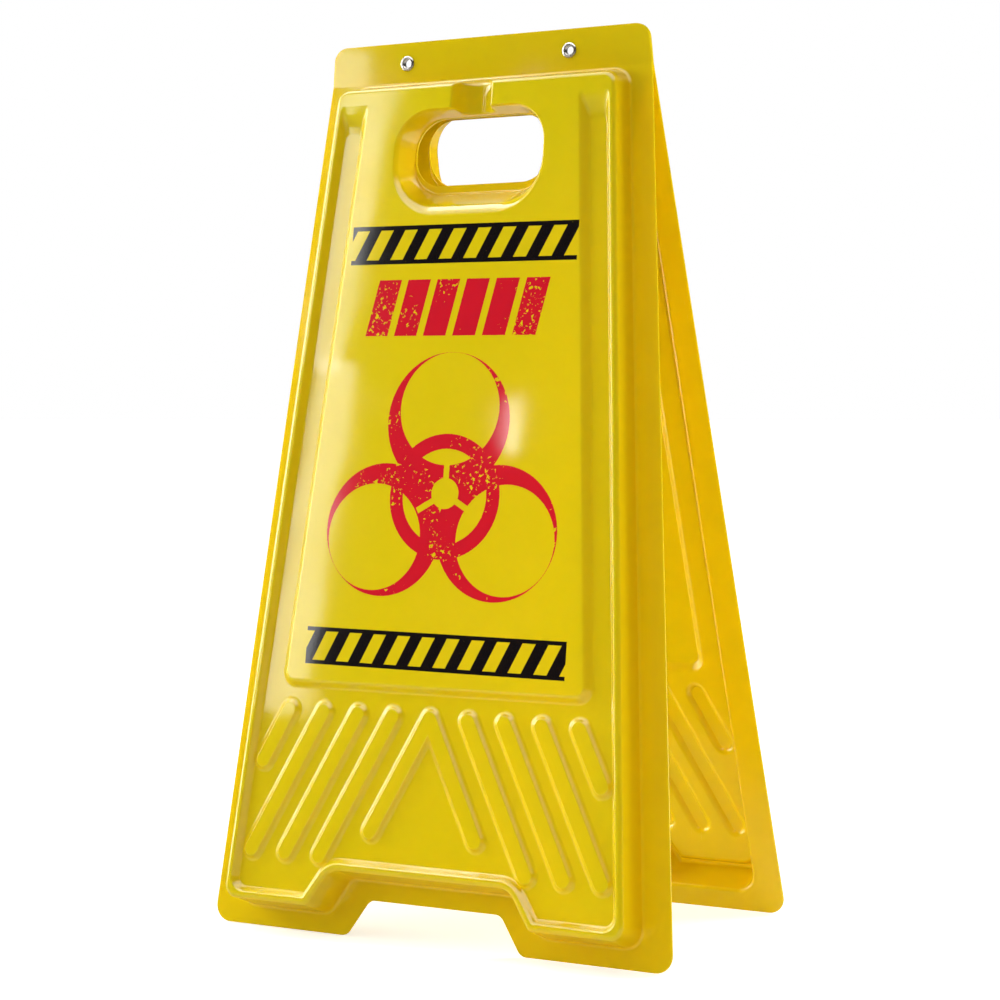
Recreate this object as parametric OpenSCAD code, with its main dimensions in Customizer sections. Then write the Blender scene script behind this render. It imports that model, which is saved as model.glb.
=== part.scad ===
// Folding A-frame floor sign: two identical thermoformed plastic sheets, joined along the top by
// two tubular eyelets. Each sheet has a flat flange, a raised pan with a rounded rim, a trough round
// a raised print field, sloping ribs, a hand hole with a sloping wall, a thumb groove and a foot notch.
// Origin: on the floor, midway between the feet. Z is up and the front sheet faces -Y.

/* [Sheet] */
// Width across the feet
base_w = 370; // [340:1:420]
// Width at the fold line
fold_w = 262; // [240:1:300]
// Length of a panel from the fold line to its feet
panel_len = 618; // [590:1:680]
// Height of the flat strip above the fold line
strip_h = 28.5; // [24:0.5:40]
// Thickness of the plastic sheet
sheet_t = 1.2; // [0.8:0.1:2]
// Corner radius at the feet
foot_r = 12; // [6:1:16]
// Corner radius at the top of the strip
strip_r = 11; // [5:1:14]
// Lean of each panel from upright, in degrees
lean = 9; // [6:0.5:14]
// Gap between the two sheets where they lie together
sheet_gap = 0.3; // [0.2:0.1:0.6]
// Gap at the fold line between a strip and its panel
fold_gap = 0.2; // [0.1:0.05:0.5]

/* [Foot notch] */
// Width of the notch at the floor
notch_foot_w = 141; // [110:1:170]
// Width of the notch at its top
notch_top_w = 106; // [80:1:130]
// Height of the notch
notch_h = 26.5; // [18:0.5:34]
// Radius of the notch corners
notch_r = 8; // [4:1:12]

/* [Pan] */
// Flange left beside the pan at the fold line
flange_fold = 17.5; // [14:0.5:24]
// Flange left beside the pan at the feet
flange_foot = 21.7; // [18:0.1:30]
// Flange left below the pan at the feet and above the notch
flange_end = 14.8; // [12:0.2:20]
// Flange left beside the sloping ends of the notch
flange_notch = 21; // [17:0.5:26]
// Flat left between the panel's upper edge and the fillet at the foot of the pan's top wall
fold_flat = 0.4; // [0.2:0.1:3]
// Height of the pan above the flange at the fold line
pan_h_fold = 20.5; // [16:0.5:26]
// Height of the pan above the flange at the feet
pan_h_foot = 28.1; // [18:0.1:32]
// Slope of the side walls, measured across
side_draft = 1.2; // [0.6:0.1:3]
// Slope of the top, bottom and notch walls, measured across
end_draft = 5.5; // [3:0.5:8]
// Radius of the pan's corners at the flange
pan_r = 13; // [10:1:18]
// Radius between the flange and the pan's wall
base_fillet = 2.4; // [1.5:0.1:4]
// Radius along the pan's outer edge
edge_r = 3.4; // [2:0.2:5]

/* [Trough] */
// Width of the flat on the rim
rim_flat = 1; // [0.4:0.2:3]
// Width of the rim's inner slope
rim_slope = 5.5; // [4:0.5:8]
// Depth of the trough below the rim
trough_d = 5.2; // [3:0.2:7]
// Distance from the fold line to the start of the trough
trough_start = 20; // [14:1:30]
// Length of the ramp at the upper end of the trough
trough_ramp = 21; // [10:1:30]

/* [Print field] */
// Distance from the pan's side to the field
field_margin = 30; // [24:0.5:36]
// Distance from the fold line to the lower edge of the field
field_len = 438; // [400:1:460]
// Width of the slope round the field
field_slope = 7; // [4:0.5:9]
// Corner radius of the field
field_r = 5; // [3:0.5:10]

/* [Ribs] */
// Number of full ribs on each side of the chevron
rib_count = 3; // [2:1:3]
// Distance between the upper ends of the ribs
rib_pitch = 28.8; // [24:0.2:32]
// Distance from the field's edge to the centres of the upper rib ends
rib_start = 22.5; // [17:0.5:26]
// Drop from the upper to the lower end of a full rib
rib_drop = 101; // [90:1:112]
// Sideways reach of a full rib
rib_reach = 52.5; // [45:0.5:60]
// Sideways offset of the ribs beside the chevron
rib_offset = 1.5; // [0:0.1:4]
// Drop of the chevron's legs
chevron_drop = 81; // [70:1:100]
// Drop of the short outer ribs
short_drop = 37; // [30:1:55]
// Width of a rib at its foot
rib_w = 17.2; // [12:0.2:20]
// Height of a rib
rib_h = 2.8; // [1.8:0.1:3.6]

/* [Hand hole] */
// Width of the recess at the pan's face
recess_w = 123; // [110:1:140]
// Distance from the fold line to the recess
recess_start = 26.5; // [24:0.5:32]
// Length of the recess down the pan
recess_len = 79; // [74:1:90]
// Slope of the recess at its sides
recess_side = 7; // [5:0.5:10]
// Slope of the recess at its top
recess_top = 3; // [2.5:0.5:5]
// Slope of the recess at its bottom, with the lip
recess_bottom = 27; // [24:1:32]
// Width of the flat lip below the slot
lip_w = 5.5; // [3:0.5:8]
// Corner radius at the top of the recess
recess_r = 29; // [24:1:32]
// Corner radius at the bottom of the recess
recess_low_r = 38; // [34:1:40]
// Radius of the thumb groove
groove_r = 14.5; // [11:0.5:18]
// Depth of the thumb groove
groove_d = 16.5; // [12:0.5:19]

/* [Eyelets] */
// Distance between the eyelet centres
eyelet_pitch = 133; // [100:1:160]
// Height of the eyelets above the fold line
eyelet_up = 13.5; // [10:0.5:18]
// Bore of an eyelet
eyelet_bore = 6; // [4.5:0.1:7]
// Wall of an eyelet's barrel
eyelet_wall = 0.4; // [0.3:0.05:0.6]
// Width across an eyelet's flange
eyelet_w = 11.2; // [9.5:0.1:13]
// Height of an eyelet's domed flange
eyelet_dome = 1; // [0.6:0.1:1.2]
// Clearance round an eyelet's barrel in the sheets
eyelet_gap = 0.1; // [0.05:0.05:0.3]

/* [Hidden] */
sheet_colour = [0.93, 0.82, 0.08];
eyelet_colour = [0.78, 0.76, 0.72];
// Steps round each corner arc, and sides of the rib ends
arc_steps = 5;
rib_fn = 14;
groove_fn = 36;
// Overshoot of a cutting form past the face that it cuts
over = 3;
// Smallest corner radius of any outline
least_r = 0.8;
// The outer face of a strip lies on the fold line
strip_face = sheet_t + sheet_gap / 2;
fold_z = panel_len * cos(lean) + sheet_t * sin(lean);
pan_fold_half = fold_w / 2 - flange_fold;
pan_foot_half = base_w / 2 - flange_foot;
side_rise = (base_w - fold_w) / 2 / panel_len;
pan_start = fold_gap + fold_flat + base_fillet;
pan_end = panel_len - flange_end;
notch_end = panel_len - notch_h - flange_end;
// The rim's inner slope starts this far inside the pan's outline
rim_side = side_draft + edge_r + rim_flat;
rim_end = end_draft + edge_r + rim_flat;
eyelet_r = eyelet_bore / 2;
barrel_r = eyelet_r + eyelet_wall;

// Plane geometry on a panel: x across it, y down it from the fold line, z out of its outer face
function mix(a, b, t) = a + (b - a) * t;
function unit(v) = v / norm(v);
function left_of(v) = [-v.y, v.x];
function pan_h(y) = mix(pan_h_fold, pan_h_foot, y / panel_len);
function flange_half(y) = fold_w / 2 + side_rise * y;
function pan_half(y) = mix(pan_fold_half, pan_foot_half, y / panel_len);

// A corner of an outline after its two edges are moved inwards by a and b
function moved_corner(p, q, r, a, b) =
    let (u = left_of(unit(q - p)), v = left_of(unit(r - q)), k = u * v, d = 1 - k * k)
    d < 1e-9 ? q + u * a : q + u * ((a - k * b) / d) + v * ((b - k * a) / d);

// An outline with each edge moved inwards by its own distance
function inset(pts, by) =
    let (n = len(pts))
    [for (i = [0:n - 1])
        moved_corner(pts[(i + n - 1) % n], pts[i], pts[(i + 1) % n], by[(i + n - 1) % n], by[i])];

// The side to which an outline turns at a corner: 1 at an outer corner, -1 at an inner one
function turn_at(pts, i) =
    let (n = len(pts), p = pts[(i + n - 1) % n], q = pts[i], r = pts[(i + 1) % n])
    left_of(q - p) * (r - q) >= 0 ? 1 : -1;

// The arc that rounds one corner of an outline
function corner_arc(pts, i, r) =
    let (n = len(pts), p = pts[(i + n - 1) % n], q = pts[i], s = pts[(i + 1) % n],
         t = turn_at(pts, i), u = left_of(unit(q - p)), v = left_of(unit(s - q)),
         c = moved_corner(p, q, s, t * r, t * r),
         from = atan2(u.y, u.x), turn = t * acos(min(1, max(-1, u * v))))
    [for (k = [0:arc_steps]) let (a = from + turn * k / arc_steps) c - t * r * [cos(a), sin(a)]];

// An outline with every corner rounded by its own radius
function rounded(pts, radii) =
    [for (i = [0:len(pts) - 1]) each corner_arc(pts, i, radii[i])];

// Corner radii that keep an inset outline concentric with the first one
function inset_radii(pts, by, radii) =
    let (n = len(pts))
    [for (i = [0:n - 1])
        max(least_r, radii[i] - turn_at(pts, i) * (by[(i + n - 1) % n] + by[i]) / 2)];

// One level of a formed shape. kinds says for each edge which column of the level holds its inset.
// A level is [side inset, end inset, top inset, share of the pan's height, offset, tilt], where tilt is
// the angle of the face from level, positive on a wall that faces out. A thinner form is shrunk by k.
function level_ring(pts, radii, kinds, level, k) =
    let (by = [for (e = kinds) level[e] + k * sin(level[5])],
         ring = rounded(inset(pts, by), inset_radii(pts, by, radii)))
    [for (p = ring) [p.x, p.y, level[3] * pan_h(p.y) + level[4] - k * cos(level[5])]];

// A solid through a stack of rings with the same number of points, lowest ring first
module stack(rings) {
    n = len(rings[0]);
    m = len(rings);
    sides = [for (j = [0:m - 2], i = [0:n - 1])
        let (a = j * n + i, b = j * n + (i + 1) % n)
        each [[a, a + n, b], [b, a + n, b + n]]];
    polyhedron(
        points = [for (ring = rings) each ring],
        faces = concat([[for (i = [0:n - 1]) i]], sides, [[for (i = [n - 1:-1:0]) (m - 1) * n + i]]));
}

module formed(pts, radii, kinds, levels, k) {
    stack([for (l = levels) level_ring(pts, radii, kinds, l, k)]);
}

// Outline of the flange of a panel
flange_pts = [
    [flange_half(fold_gap), fold_gap],
    [base_w / 2, panel_len],
    [notch_foot_w / 2, panel_len],
    [notch_top_w / 2, panel_len - notch_h],
    [-notch_top_w / 2, panel_len - notch_h],
    [-notch_foot_w / 2, panel_len],
    [-base_w / 2, panel_len],
    [-flange_half(fold_gap), fold_gap]];
flange_radii = [least_r, foot_r, notch_r, notch_r, notch_r, notch_r, foot_r, least_r];

// The sloping edge of the notch, moved out to the pan's foot and to the pan's notch top
notch_rise = (notch_foot_w - notch_top_w) / 2 / notch_h;
notch_across = flange_notch * sqrt(1 + notch_rise * notch_rise);
function notch_x(y) = notch_foot_w / 2 - notch_rise * (panel_len - y) + notch_across;

// Outline of the pan where it meets the flange
pan_pts = [
    [pan_half(pan_start), pan_start],
    [pan_half(pan_end), pan_end],
    [notch_x(pan_end), pan_end],
    [notch_x(notch_end), notch_end],
    [-notch_x(notch_end), notch_end],
    [-notch_x(pan_end), pan_end],
    [-pan_half(pan_end), pan_end],
    [-pan_half(pan_start), pan_start]];
pan_radii = [pan_r, pan_r, notch_r + 3, notch_r, notch_r, notch_r + 3, pan_r, pan_r];
// Edge kinds: 0 side, 1 bottom or notch, 2 top
pan_kinds = [0, 1, 1, 1, 1, 1, 0, 2];

// The pan's wall: foot fillet, sloping wall and rounded outer edge, up to its face
wall_tilt = atan2(pan_h_fold - base_fillet - edge_r, end_draft);
function fillet_level(t) =
    let (a = base_fillet * (sin(t) - 1), h = base_fillet * (1 - cos(t)))
    [a, a, a, 0, h, t];
function edge_level(t) =
    let (a = edge_r * (1 - sin(t)), h = -edge_r * (1 - cos(t)))
    [side_draft + a, end_draft + a, end_draft + a, 1, h, t];
pan_levels = concat(
    [[-base_fillet, -base_fillet, -base_fillet, 0, -sheet_t / 2, 0]],
    [for (t = [0, 30, 60, wall_tilt]) fillet_level(t)],
    [for (t = [wall_tilt, 54, 36, 18, 0]) edge_level(t)]);

// Levels of a slope that drops from the pan's face by d, from the insets a to the insets b. The last
// level stands as far above the face as the one before it lies below, so that the slope crosses the face.
// first is the lowest step: its share of the slope, its share of the drop and its tilt.
slope_steps = [[0.86, 0.97, 18], [0.62, 0.74, 45], [0.3, 0.22, 45], [0.12, 0.05, 22], [-0.12, -0.05, 22]];
function drop_levels(a, b, d, far, first) =
    [for (s = concat([first], slope_steps))
        [mix(a[0], b[0], s[0]), mix(a[1], b[1], s[0]), mix(a[2], b[2], s[0]), 1, -d * s[1], far * s[2]]];
function raised(level, by) = [level[0], level[1], level[2], 1, by, 0];

// The trough, from its floor up past the pan's face
trough_slope = drop_levels([rim_side, rim_end, trough_start],
    [rim_side + rim_slope, rim_end + rim_slope, trough_start + trough_ramp], trough_d, -1, [1, 1, 0]);
trough_levels = concat(trough_slope, [raised(trough_slope[5], over)]);

// The print field that the trough runs round. Its upper end runs on into the pan's face.
field_top = trough_start / 2;
function field_half(y) = pan_half(y) - field_margin;
field_pts = [
    [field_half(field_top), field_top],
    [field_half(field_len), field_len],
    [-field_half(field_len), field_len],
    [-field_half(field_top), field_top]];
field_edge = drop_levels([0, 0, 0], [-field_slope, -field_slope, 0], trough_d, 1, [1.14, 1.03, 18]);
field_levels = concat([raised(field_edge[0], -trough_d - over)], field_edge, [raised(field_edge[5], over * 2)]);

// The hand recess, from the flange's level up past the pan's face
recess_end = recess_start + recess_len;
recess_pts = [
    [recess_w / 2, recess_start],
    [recess_w / 2, recess_end],
    [-recess_w / 2, recess_end],
    [-recess_w / 2, recess_start]];
recess_radii = [recess_r, recess_low_r, recess_low_r, recess_r];
recess_low = recess_bottom - lip_w;
recess_levels = [
    [recess_side - 0.6, recess_low, recess_top - 0.3, 0, -over, 0],
    [recess_side - 0.6, recess_low, recess_top - 0.3, 0, 0, 0],
    [recess_side - 1, recess_low - 0.8, recess_top - 0.5, 0, 0.6, -35],
    [recess_side - 1.4, recess_low - 2.2, recess_top - 0.7, 0, 2.6, -60],
    [recess_side * 0.43, recess_low * 0.42, recess_top * 0.47, 1, -3.6, -58],
    [recess_side * 0.24, recess_low * 0.26, recess_top * 0.25, 1, -1.7, -38],
    [recess_side * 0.1, recess_low * 0.12, recess_top * 0.1, 1, -0.5, -18],
    [-recess_side * 0.1, -recess_low * 0.12, -recess_top * 0.1, 1, 0.5, -18],
    [-recess_side * 0.1, -recess_low * 0.12, -recess_top * 0.1, 1, over, 0]];

module pan_form(k) {
    formed(pan_pts, pan_radii, pan_kinds, pan_levels, k);
}

module trough_form(k) {
    difference() {
        formed(pan_pts, pan_radii, pan_kinds, trough_levels, k);
        formed(field_pts, [field_r, field_r, field_r, field_r], [0, 1, 0, 2], field_levels, k);
    }
}

module recess_form(k) {
    formed(recess_pts, recess_radii, [0, 1, 0, 2], recess_levels, k);
}

module groove_form(k) {
    translate([0, recess_start + recess_r / 2, pan_h_fold + groove_r - groove_d])
        rotate([90, 0, 0]) {
            cylinder(r = groove_r + k, h = recess_start + recess_r, $fn = groove_fn);
            translate([-groove_r - k, 0, 0])
                cube([(groove_r + k) * 2, groove_d, recess_start + recess_r]);
        }
}

// One rounded end of a rib, rooted a little below the trough's floor
module rib_end(p, k) {
    low_r = rib_w * 0.53 - k * 0.7;
    mid_r = rib_w * 0.40 - k * 0.7;
    top_r = rib_w * 0.29 - k * 0.7;
    root = rib_h * 0.3;
    translate([p.x, p.y, pan_h(p.y) - trough_d - k]) {
        translate([0, 0, -root])
            cylinder(r1 = low_r, r2 = mid_r, h = root + rib_h * 0.8, $fn = rib_fn);
        translate([0, 0, rib_h * 0.8])
            cylinder(r1 = mid_r, r2 = top_r, h = rib_h * 0.2, $fn = rib_fn);
    }
}

module rib(from, to, k) {
    hull() {
        rib_end(from, k);
        rib_end(to, k);
    }
}

// The chevron in the middle, with full ribs and one short rib on each side of it
module ribs(k) {
    top = field_len + rib_start;
    steep = rib_reach / rib_drop;
    for (side = [-1, 1]) {
        rib([0, top], [side * steep * chevron_drop, top + chevron_drop], k);
        for (i = [1:rib_count])
            rib([side * (rib_pitch * i + rib_offset), top],
                [side * (rib_pitch * i + rib_offset + rib_reach), top + rib_drop], k);
        short_u = rib_pitch * (rib_count + 1) + rib_offset;
        rib([side * short_u, top], [side * (short_u + steep * short_drop), top + short_drop], k);
    }
}

// Everything under the formed face of a panel, with that face sunk by k
module formed_body(k) {
    difference() {
        pan_form(k);
        trough_form(k);
        recess_form(k);
        groove_form(k);
    }
    ribs(k);
}

module slot() {
    by = [recess_side, recess_bottom, recess_side, recess_top];
    translate([0, 0, -sheet_t - over])
        linear_extrude(sheet_t + over * 2)
            polygon(rounded(inset(recess_pts, by), inset_radii(recess_pts, by, recess_radii)));
}

// One formed panel, lying flat with its outer flange face at z = 0
module panel() {
    color(sheet_colour)
        difference() {
            union() {
                translate([0, 0, -sheet_t])
                    linear_extrude(sheet_t)
                        polygon(rounded(flange_pts, flange_radii));
                formed_body(0);
            }
            formed_body(sheet_t);
            slot();
        }
}

// Stands a flat-lying form at the back of the sign, with its outer face through the fold line
module stand(tilt) {
    translate([0, strip_face, fold_z])
        rotate([tilt - 90, 0, 0])
            children();
}

module front_side() {
    rotate([0, 0, 180])
        children();
}

// The flat strip of one sheet above the fold line, with its two eyelet holes
module strip() {
    half = fold_w / 2;
    top_half = flange_half(-strip_h);
    color(sheet_colour)
        translate([0, 0, -sheet_t])
            linear_extrude(sheet_t)
                difference() {
                    polygon(rounded([[top_half, -strip_h], [half, 0], [-half, 0], [-top_half, -strip_h]],
                        [strip_r, least_r, least_r, strip_r]));
                    for (side = [-1, 1])
                        translate([side * eyelet_pitch / 2, -eyelet_up])
                            circle(r = barrel_r + eyelet_gap, $fn = 48);
                }
}

// One tubular eyelet through both strips, with a domed flange on each side
module eyelet(side) {
    rim_mid = (eyelet_r + eyelet_w / 2) / 2;
    rim_half = eyelet_w / 2 - rim_mid;
    dome_r = (rim_half * rim_half + eyelet_dome * eyelet_dome) / 2 / eyelet_dome;
    color(eyelet_colour)
        translate([side * eyelet_pitch / 2, 0, fold_z + eyelet_up])
            rotate([90, 0, 0]) {
                translate([0, 0, -strip_face])
                    rotate_extrude($fn = 64)
                        translate([eyelet_r, 0])
                            square([eyelet_wall, strip_face * 2]);
                for (end = [0, 1])
                    rotate([end * 180, 0, 0])
                        translate([0, 0, strip_face])
                            rotate_extrude($fn = 64)
                                intersection() {
                                    translate([rim_mid, eyelet_dome - dome_r])
                                        circle(r = dome_r, $fn = 64);
                                    translate([eyelet_r, 0])
                                        square([eyelet_w / 2, eyelet_dome * 2]);
                                }
            }
}

module front_panel() {
    front_side() stand(lean) panel();
}

module rear_panel() {
    stand(lean) panel();
}

module front_hinge_strip() {
    front_side() stand(0) strip();
}

module rear_hinge_strip() {
    stand(0) strip();
}

module eyelet_left() {
    eyelet(-1);
}

module eyelet_right() {
    eyelet(1);
}

front_panel();
rear_panel();
front_hinge_strip();
rear_hinge_strip();
eyelet_left();
eyelet_right();
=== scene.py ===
"""Dresses a folding floor warning sign: two formed plastic sheets, two eyelets, and a plain studio."""

import math

import bpy
import numpy as np
from mathutils import Matrix, Vector
from mathutils.geometry import delaunay_2d_cdt


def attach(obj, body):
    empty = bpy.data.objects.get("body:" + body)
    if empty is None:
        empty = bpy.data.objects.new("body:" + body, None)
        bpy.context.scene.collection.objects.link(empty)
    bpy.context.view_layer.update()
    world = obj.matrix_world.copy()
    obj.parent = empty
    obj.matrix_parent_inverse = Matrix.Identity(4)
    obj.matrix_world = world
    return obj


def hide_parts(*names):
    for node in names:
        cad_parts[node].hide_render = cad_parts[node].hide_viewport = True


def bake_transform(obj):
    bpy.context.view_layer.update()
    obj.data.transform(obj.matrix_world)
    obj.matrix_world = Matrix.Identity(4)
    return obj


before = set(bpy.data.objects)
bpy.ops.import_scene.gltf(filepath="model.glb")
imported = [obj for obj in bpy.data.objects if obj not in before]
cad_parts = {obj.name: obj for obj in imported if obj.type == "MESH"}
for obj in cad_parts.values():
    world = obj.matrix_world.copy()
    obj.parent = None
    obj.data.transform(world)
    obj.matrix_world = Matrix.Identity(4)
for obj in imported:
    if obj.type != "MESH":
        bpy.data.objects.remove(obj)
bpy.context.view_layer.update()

bl_info = {
    "name": "Folding floor sign",
    "version": (1, 0, 0),
    "blender": (4, 5, 0),
    "location": "3D View > Sidebar > Floor Sign",
    "description": "Builds the formed sheets, the eyelets and the studio of a folding floor sign",
    "category": "Object",
}

MM = 0.001

# The sheet map holds metres: across the sheet from this offset, and down from the fold below this one
MAP_U = 0.5
MAP_S = 0.7

# Kinds of edge of a formed outline
SIDE, END, TOP, FIELD = range(4)

# How close two places are when they count as one
NEAR = 1e-4

# Details of the formed sheet: lengths are in millimetres, and steps are counts
ARC_STEPS = 8
LEAST_R = 0.8
FOLD_BEND = 0.4
PAN_START = 3.0
NOTCH = {"foot_w": 141.0, "top_w": 106.0, "h": 26.5, "r": 8.0, "low_r": 11.0}
FLANGE = {"end": 14.8, "notch": 21.0, "strip_r": 11, "foot_r": 12}
HOLE = {"clearance": 0.5, "steps": 32}
DRAFT = {SIDE: 1.2, END: 5.5, TOP: 5.5}
PAN_R = 13.0
FOOT_FILLET = 2.4
FOOT_STEPS = 5
EDGE_R = 3.4
EDGE_STEPS = 8
RIM_FLAT = 1.0
RIM_SLOPE = 5.0
RIM_MARGIN = 0.3
TROUGH = {"start": 20.0, "ramp": 21.0, "r": 19.0}
# Corners at the trough's upper ends: outer and inner ones, with their radii at the rim and at the floor
TROUGH_END_R = {(0, 7): (5.0, 3.0), (8, 11): (4.0, 2.5)}
FIELD_EDGE = {"margin": 30.0, "len": 438.0, "slope": 7.0, "r": 5.0}
RIBS = {
    "count": 3, "pitch": 28.8, "offset": 1.5, "start": 22.5, "drop": 101.0, "reach": 52.5,
    "chevron": 81.0, "short": 37.0}
RIB_STEPS = {"end": 12, "bend": 8}
# Distance from a rib's middle line, and share of its height
RIB_PROFILE = [
    (9.6, 0.0), (9.0, 0.025), (8.3, 0.09), (7.5, 0.22), (6.8, 0.41), (6.2, 0.63), (5.8, 0.8), (5.45, 0.925),
    (5.1, 0.985), (4.7, 1.0)]
# Where the ribs may run into the slope round the trough: nearest u, first and last s
RIB_MEETS_RIM = (60.0, 470.0, 600.0)
RECESS = {"w": 123.0, "start": 26.5, "len": 79.0, "r": 29.0, "low_r": 38.0, "steps": 14}
# Insets of the recess at its sides, bottom and top, share of the pan's height, and height added to it
RECESS_PROFILE = [
    (0.0, 0.0, 0.0, 1, 0.0), (0.35, 1.1, 0.12, 1, -0.12), (0.8, 2.6, 0.3, 1, -0.5),
    (1.2, 4.1, 0.52, 1, -1.1), (1.7, 5.8, 0.78, 1, -2.0), (2.2, 7.4, 1.04, 1, -3.1),
    (2.7, 9.0, 1.3, 1, -4.4), (5.5, 18.7, 2.28, 0, 3.2), (5.75, 19.7, 2.38, 0, 1.7),
    (6.05, 20.7, 2.52, 0, 0.6), (6.4, 21.8, 2.7, 0, 0.0)]
# Insets of the hand hole's edge at its sides, bottom and top
SLOT_INSET = (7.0, 27.0, 3.0)
GROOVE = {"r": 14.5, "lip": 0.95, "floor": 4.0, "blend": 2.6, "half": 19.0, "start": 0.55, "end": 30.6}
# Lines along and across the thumb groove that keep its mesh fine, and the steepest tilt there in radians
GROOVE_LINES = (0, 2.5, 5, 7.5, 9.5, 11, 12.2, 13.2, 14, 14.6, 15.2, 15.8, 16.5, 17.4)
GROOVE_LEVELS = (10, 12, 15, 18, 21, 24)
STEEPEST = 1.45
# Cut edges whose directions agree by this cosine share a normal
EDGE_MATCH = 0.7
# Share of painted shade: the deeper colour painted on the flange and on upright walls, where shade falls
PAINTED_SHADE = {"flange": 0.3, "wall": 0.6}


# Plane outlines

def left_of(v):
    return Vector((-v.y, v.x))


def moved_corner(p, q, r, a, b):
    """The corner q of an outline after its two edges are moved inwards by a and b."""
    u, v = left_of((q - p).normalized()), left_of((r - q).normalized())
    k = u.dot(v)
    d = 1 - k * k
    if d < 1e-9:
        return q + u * a
    return q + u * ((a - k * b) / d) + v * ((b - k * a) / d)


def inset(pts, by):
    n = len(pts)
    return [moved_corner(pts[i - 1], pts[i], pts[(i + 1) % n], by[i - 1], by[i]) for i in range(n)]


def turn_at(pts, i):
    p, q, r = pts[i - 1], pts[i], pts[(i + 1) % len(pts)]
    return 1 if left_of(q - p).dot(r - q) >= 0 else -1


def rounded(pts, radii, steps=ARC_STEPS):
    """Points of an outline with round corners: (place, outward direction, corner, share of its arc)."""
    out = []
    n = len(pts)
    for i in range(n):
        p, q, s = pts[i - 1], pts[i], pts[(i + 1) % n]
        t = turn_at(pts, i)
        u, v = left_of((q - p).normalized()), left_of((s - q).normalized())
        r = radii[i]
        c = moved_corner(p, q, s, t * r, t * r)
        start = math.atan2(u.y, u.x)
        turn = t * math.acos(min(1.0, max(-1.0, u.dot(v))))
        for k in range(steps + 1):
            a = start + turn * k / steps
            way = Vector((math.cos(a), math.sin(a)))
            out.append((c - way * (t * r), -way, i, k / steps))
    return out


def inset_radii(pts, by, radii):
    return [max(LEAST_R, radii[i] - turn_at(pts, i) * (by[i - 1] + by[i]) / 2) for i in range(len(pts))]


def tilts(insets, heights):
    """Tilt of a stepped profile at each step, weighted towards its longer neighbour. Its ends lie flat."""
    n = len(insets)
    legs = []
    for i in range(n - 1):
        dx, dh = insets[i + 1] - insets[i], heights[i + 1] - heights[i]
        legs.append((math.hypot(dx, dh), math.atan2(dh, dx)))
    out = [0.0]
    for (la, a), (lb, b) in zip(legs, legs[1:]):
        out.append((la * a + lb * b) / (la + lb))
    return out + [0.0]


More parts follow.
